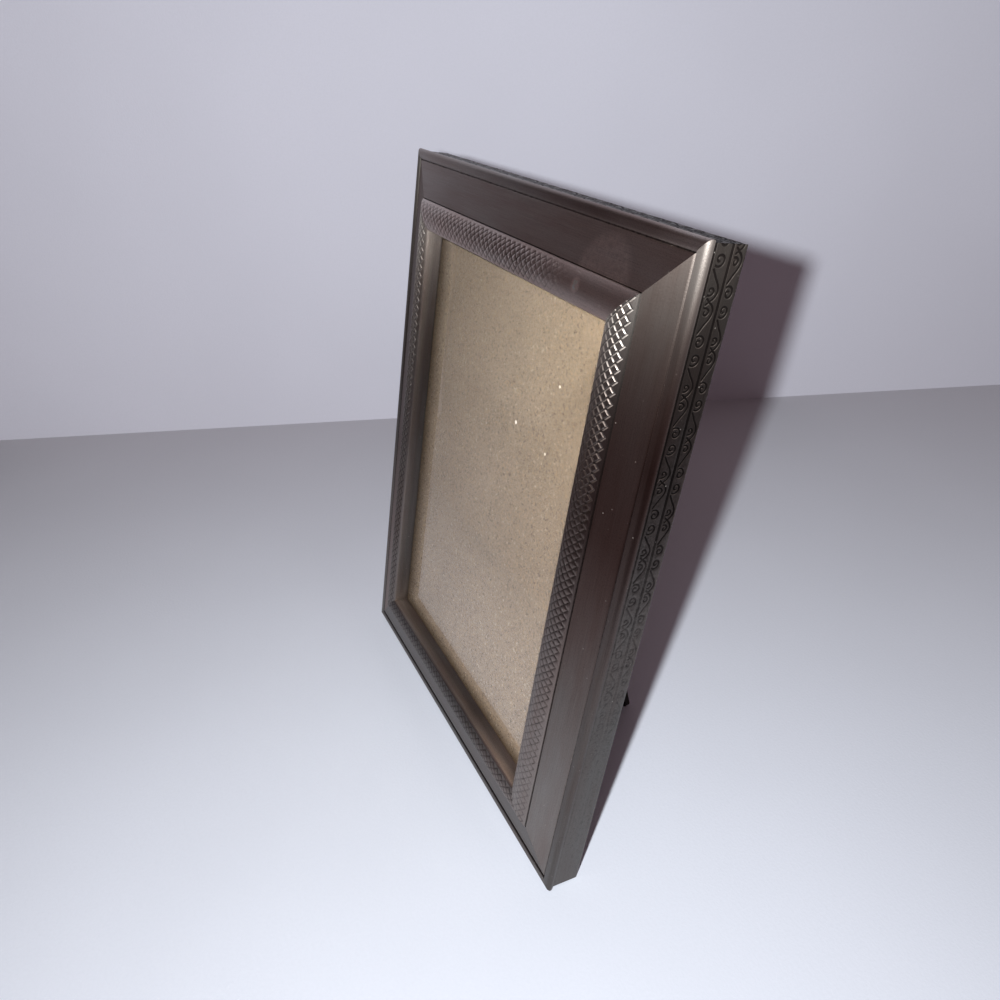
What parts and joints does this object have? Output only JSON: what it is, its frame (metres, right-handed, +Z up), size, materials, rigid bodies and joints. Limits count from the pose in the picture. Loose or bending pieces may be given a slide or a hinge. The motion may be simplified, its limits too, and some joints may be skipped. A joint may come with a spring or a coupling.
{
  "type": "easel back photo frame",
  "caption": "Upright table frame of mitred rolled metal moulding with a crosshatched inner bead, glazed, with a clothed easel back, turn buttons and a folding leg on a stop hinge.",
  "frame": {"origin": "on the surface that the frame stands on, under the middle of its box with the leg open", "axes": "+Z up, -Y towards the viewer of the picture, +X to that viewer's right"},
  "size_m": [0.1724, 0.0766, 0.22],
  "materials": {
    "pewter_metal": "dark brushed pewter, oxidised in its hollows",
    "key_steel": "plain mill finish",
    "clear_glass": "polished float glass",
    "chipboard": "speckled greyish brown, matt",
    "packing_card": "plain brown card",
    "back_card": "dark brown fibre card",
    "black_cloth": "short black velvet pile",
    "plated_steel": "bright plated sheet",
    "rivet_steel": "plated, domed"
  },
  "bodies": {
    "frame": {"rail_bottom": "pewter_metal", "rail_left": "pewter_metal", "rail_top": "pewter_metal", "rail_right": "pewter_metal", "turn_button_rivets": "rivet_steel", "corner_key_bottom_left": "key_steel", "corner_key_top_left": "key_steel", "corner_key_top_right": "key_steel", "corner_key_bottom_right": "key_steel", "glass_pane": "clear_glass", "insert_board": "chipboard", "spacer_pad": "packing_card", "backboard": "back_card", "backboard_cloth": "black_cloth", "hinge_leaf_board": "plated_steel", "hinge_leaf_board_rivets": "rivet_steel", "hinge_pin": "plated_steel"},
    "leg": {"easel_leg": "back_card", "easel_leg_cloth": "black_cloth", "hinge_leaf_leg": "plated_steel", "hinge_leaf_leg_rivets": "rivet_steel"},
    "turn_button_bottom": {"turn_button_bottom": "plated_steel"},
    "turn_button_left": {"turn_button_left": "plated_steel"},
    "turn_button_top": {"turn_button_top": "plated_steel"},
    "turn_button_right": {"turn_button_right": "plated_steel"}
  },
  "joints": [
    {"name": "leg_hinge", "type": "hinge", "parent": "frame", "child": "leg", "pos_m": [0, 0.00823, 0.14512], "axis": [-1, 0, 0], "range_deg": [0, 22]},
    {"name": "turn_button_bottom_turn", "type": "hinge", "parent": "frame", "child": "turn_button_bottom", "pos_m": [0, -0.02082, 0.01517], "axis": [0, 0.9781, -0.2079], "continuous": true},
    {"name": "turn_button_left_turn", "type": "hinge", "parent": "frame", "child": "turn_button_left", "pos_m": [-0.06975, -0.00104, 0.10824], "axis": [0, 0.9781, -0.2079], "continuous": true},
    {"name": "turn_button_top_turn", "type": "hinge", "parent": "frame", "child": "turn_button_top", "pos_m": [0, 0.01875, 0.20131], "axis": [0, 0.9781, -0.2079], "continuous": true},
    {"name": "turn_button_right_turn", "type": "hinge", "parent": "frame", "child": "turn_button_right", "pos_m": [0.06975, -0.00104, 0.10824], "axis": [0, 0.9781, -0.2079], "continuous": true}
  ]
}
